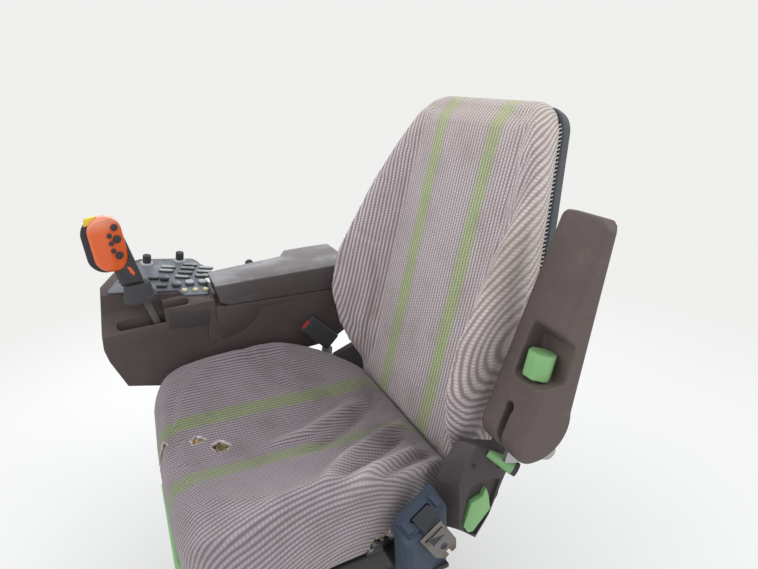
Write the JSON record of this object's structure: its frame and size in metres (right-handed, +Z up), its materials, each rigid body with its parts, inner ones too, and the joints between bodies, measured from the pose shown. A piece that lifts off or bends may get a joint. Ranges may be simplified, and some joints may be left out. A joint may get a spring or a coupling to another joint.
{
  "type": "operator's seat with control console",
  "caption": "Suspended operator's seat of a harvester: striped cushions, raised left armrest, right armrest console with keys and drive lever, belt latch and release handles.",
  "frame": {"origin": "on the floor at the middle of the base plate's bolt pattern", "axes": "+Z up, the seat faces -Y, the occupant's left is +X and the console is at -X"},
  "size_m": [0.916, 0.8191, 1.1143],
  "materials": {
    "frame_steel": "satin black paint",
    "bellows_rubber": "pleated rubber",
    "bare_steel": "zinc plated",
    "cushion_fabric": "ribbed woven fabric with stripes",
    "brown_plastic": "grained moulding",
    "pad_plastic": "grained soft skin, worn paler on top",
    "panel_plastic": "slate grey",
    "key_plastic": "dark grey keys",
    "lamp_plastic": "pale yellow",
    "black_plastic": "black",
    "skirt_plastic": "pale grey",
    "green_plastic": "light green",
    "navy_plastic": "slate blue",
    "webbing": "woven webbing",
    "latch_steel": "worn plating",
    "red_plastic": "red",
    "orange_plastic": "orange, sun bleached on top",
    "boot_rubber": "soft rubber",
    "shell_plastic": "dark grey back shell"
  },
  "bodies": {
    "base": {"base_plate": "frame_steel", "lower_frame": "frame_steel", "bellows": "bellows_rubber", "top_frame": "frame_steel", "rails_lower": "bare_steel"},
    "seat": {"rails_upper": "frame_steel", "seat_pan": "frame_steel", "seat_cushion": "cushion_fabric", "recliner_plates": "frame_steel", "recliner_pins": "bare_steel", "side_cover_left": "brown_plastic", "side_cover_right": "brown_plastic", "belt_anchors": "frame_steel", "belt_retractor": "navy_plastic", "belt_webbing": "webbing", "latch_plate": "latch_steel", "buckle_body": "black_plastic", "buckle_button": "red_plastic", "buckle_stalk": "bare_steel", "slide_bar": "green_plastic", "recline_lever": "green_plastic", "lumbar_handle": "green_plastic", "lumbar_handle_cap": "black_plastic", "console_body": "brown_plastic", "console_plate": "panel_plastic", "console_bracket": "frame_steel", "armrest_pad": "pad_plastic", "control_panel": "panel_plastic", "long_keys": "key_plastic", "round_keys": "key_plastic", "small_keys": "key_plastic", "lamp_keys": "lamp_plastic", "knob_skirts": "skirt_plastic", "rotary_knobs": "black_plastic", "console_latch": "black_plastic", "ball_knob": "black_plastic", "lever_pivot": "bare_steel"},
    "backrest": {"back_shell": "shell_plastic", "back_cushion": "cushion_fabric", "back_arms": "frame_steel", "armrest_bracket": "bare_steel"},
    "armrest": {"armrest_left": "brown_plastic", "armrest_knob": "green_plastic"},
    "drive_lever": {"lever_bar": "bare_steel", "lever_boot": "boot_rubber", "lever_grip": "black_plastic", "lever_head": "orange_plastic", "lever_head_back": "black_plastic", "head_keys": "key_plastic", "head_switch": "lamp_plastic"}
  },
  "joints": [
    {"name": "seat_slide", "type": "slide", "parent": "base", "child": "seat", "axis": [0, 1, 0], "range_m": [-0.075, 0.075]},
    {"name": "backrest_recline", "type": "hinge", "parent": "seat", "child": "backrest", "pos_m": [0, 0.26599, 0.43587], "axis": [1, 0, 0], "range_deg": [-20, 6]},
    {"name": "armrest_fold", "type": "hinge", "parent": "backrest", "child": "armrest", "pos_m": [0.34, 0.26505, 0.65427], "axis": [1, 0, 0], "range_deg": [0, 100]},
    {"name": "drive_lever_swing", "type": "hinge", "parent": "seat", "child": "drive_lever", "pos_m": [-0.317, -0.215, 0.58], "axis": [1, 0, 0], "range_deg": [-14, 20]}
  ]
}
